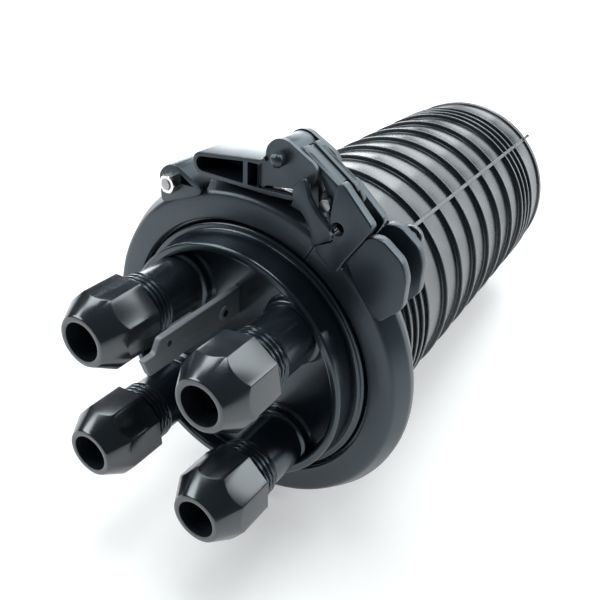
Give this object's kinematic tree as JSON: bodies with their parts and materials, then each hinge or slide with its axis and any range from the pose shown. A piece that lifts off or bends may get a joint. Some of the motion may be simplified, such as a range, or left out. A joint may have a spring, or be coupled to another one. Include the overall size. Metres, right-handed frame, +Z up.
{
  "type": "dome splice closure",
  "caption": "Ribbed black dome closure lying on its side, with octagonal cable glands on its base, a hinged hoop clamp and a toggle lever latch.",
  "frame": {"origin": "middle of the overall size, on the flat foot of the hoop clamp", "axes": "+Z up, +Y along the closure's axis towards the dome's closed end, so the cable glands point along -Y and the latch is on top"},
  "size_m": [0.211, 0.441, 0.249],
  "materials": {
    "dome": "moulded black plastic, satin gloss",
    "base": "moulded black plastic, satin gloss",
    "hoop": "moulded black glass-filled plastic, satin",
    "latch": "moulded black plastic, satin",
    "gland": "moulded black plastic, glossy",
    "gland_inner": "dark plastic thrust ring",
    "seal": "black rubber",
    "pin_steel": "plain steel",
    "nickel": "nickel-plated nut",
    "bracket": "folded steel sheet",
    "tray": "pale moulded plastic",
    "lid": "pale translucent plastic, taken as opaque",
    "strap": "woven black strap"
  },
  "bodies": {
    "closure": {"dome_cover": "dome", "port_base": "base", "flange_seal": "seal", "hoop_left_half": "hoop", "hoop_hinge_pin": "pin_steel", "lever_fulcrum_pin": "latch", "lock_bolt": "pin_steel", "lock_nut": "nickel", "gland_seal_1": "seal", "gland_seal_2": "seal", "gland_seal_3": "seal", "gland_seal_4": "seal", "tray_bracket": "bracket", "bracket_screws": "pin_steel", "strength_clamps": "bracket", "strength_clamp_bolts": "pin_steel", "splice_tray_1": "tray", "splice_tray_2": "tray", "splice_tray_3": "tray", "tray_lid": "lid", "tray_strap": "strap"},
    "right_half": {"hoop_right_half": "hoop", "strike_pin": "pin_steel"},
    "lever": {"latch_lever": "latch", "lever_link_pin": "latch"},
    "link": {"latch_link": "latch"},
    "gland_ring_1": {"gland_washer_1": "gland_inner"},
    "gland_1": {"gland_nut_1": "gland"},
    "gland_ring_2": {"gland_washer_2": "gland_inner"},
    "gland_2": {"gland_nut_2": "gland"},
    "gland_ring_3": {"gland_washer_3": "gland_inner"},
    "gland_3": {"gland_nut_3": "gland"},
    "gland_ring_4": {"gland_washer_4": "gland_inner"},
    "gland_4": {"gland_nut_4": "gland"}
  },
  "joints": [
    {"name": "lever_swing", "type": "hinge", "parent": "closure", "child": "lever", "pos_m": [0.03701, -0.1195, 0.235], "axis": [0, 1, 0], "range_deg": [0, 120]},
    {"name": "link_swing", "type": "hinge", "parent": "lever", "child": "link", "pos_m": [0.02301, -0.1195, 0.239], "axis": [0, 1, 0], "range_deg": [-120, 0]},
    {"name": "hoop_open", "type": "hinge", "parent": "closure", "child": "right_half", "pos_m": [0, -0.1175, 0.0065], "axis": [0, 1, 0], "range_deg": [0, 2]},
    {"name": "ring_slide_1", "type": "slide", "parent": "closure", "child": "gland_ring_1", "axis": [0, -1, 0], "range_m": [0, 0.012]},
    {"name": "nut_turn_1", "type": "hinge", "parent": "gland_ring_1", "child": "gland_1", "pos_m": [-0.03602, -0.2205, 0.15221], "axis": [0, -1, 0], "range_deg": [0, 1440]},
    {"name": "ring_slide_2", "type": "slide", "parent": "closure", "child": "gland_ring_2", "axis": [0, -1, 0], "range_m": [0, 0.012]},
    {"name": "nut_turn_2", "type": "hinge", "parent": "gland_ring_2", "child": "gland_2", "pos_m": [0.04065, -0.2205, 0.14765], "axis": [0, -1, 0], "range_deg": [0, 1440]},
    {"name": "ring_slide_3", "type": "slide", "parent": "closure", "child": "gland_ring_3", "axis": [0, -1, 0], "range_m": [0, 0.012]},
    {"name": "nut_turn_3", "type": "hinge", "parent": "gland_ring_3", "child": "gland_3", "pos_m": [-0.04065, -0.2205, 0.07435], "axis": [0, -1, 0], "range_deg": [0, 1440]},
    {"name": "ring_slide_4", "type": "slide", "parent": "closure", "child": "gland_ring_4", "axis": [0, -1, 0], "range_m": [0, 0.012]},
    {"name": "nut_turn_4", "type": "hinge", "parent": "gland_ring_4", "child": "gland_4", "pos_m": [0.03602, -0.2205, 0.06979], "axis": [0, -1, 0], "range_deg": [0, 1440]}
  ],
  "couplings": [
    {"joint": "link_swing", "follows": "lever_swing", "ratio": -1},
    {"joint": "hoop_open", "follows": "lever_swing", "ratio": 0.016667},
    {"joint": "ring_slide_1", "follows": "nut_turn_1", "m_per_rad": 0.00047746},
    {"joint": "ring_slide_2", "follows": "nut_turn_2", "m_per_rad": 0.00047746},
    {"joint": "ring_slide_3", "follows": "nut_turn_3", "m_per_rad": 0.00047746},
    {"joint": "ring_slide_4", "follows": "nut_turn_4", "m_per_rad": 0.00047746}
  ]
}
